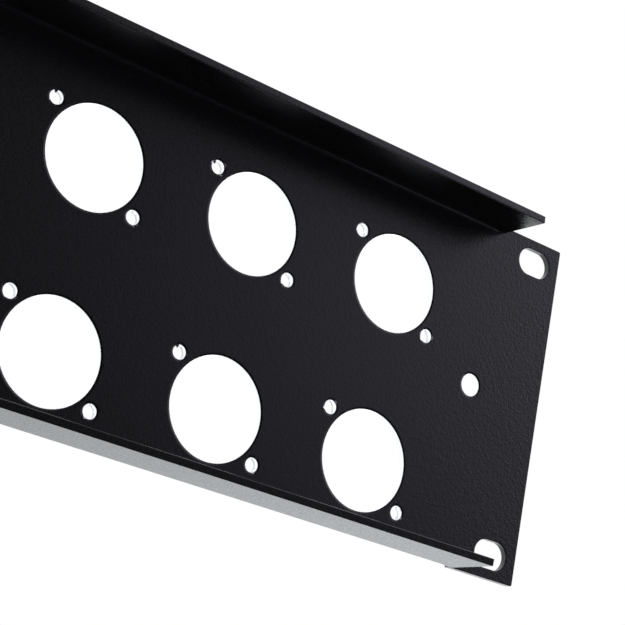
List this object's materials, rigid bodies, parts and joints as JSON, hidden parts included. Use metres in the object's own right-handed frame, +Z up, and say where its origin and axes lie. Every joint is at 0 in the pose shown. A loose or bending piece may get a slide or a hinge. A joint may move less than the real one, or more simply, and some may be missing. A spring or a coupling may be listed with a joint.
{
  "type": "rack patch panel",
  "caption": "Empty two-unit 19-inch rack patch panel: a black bent-steel sheet with flanges and two rows of round cutouts for D-size connectors.",
  "frame": {"origin": "centre of the panel's front face, on the face itself", "axes": "+X along the panel, to the right as seen from its front; +Y from the front face to the back, the way the flanges fold; +Z up"},
  "size_m": [0.4826, 0.0168, 0.0882],
  "materials": {
    "powder_coat": "black powder coat on steel, fine orange peel, satin"
  },
  "bodies": {
    "root": {"rack_panel": "powder_coat"}
  },
  "joints": []
}
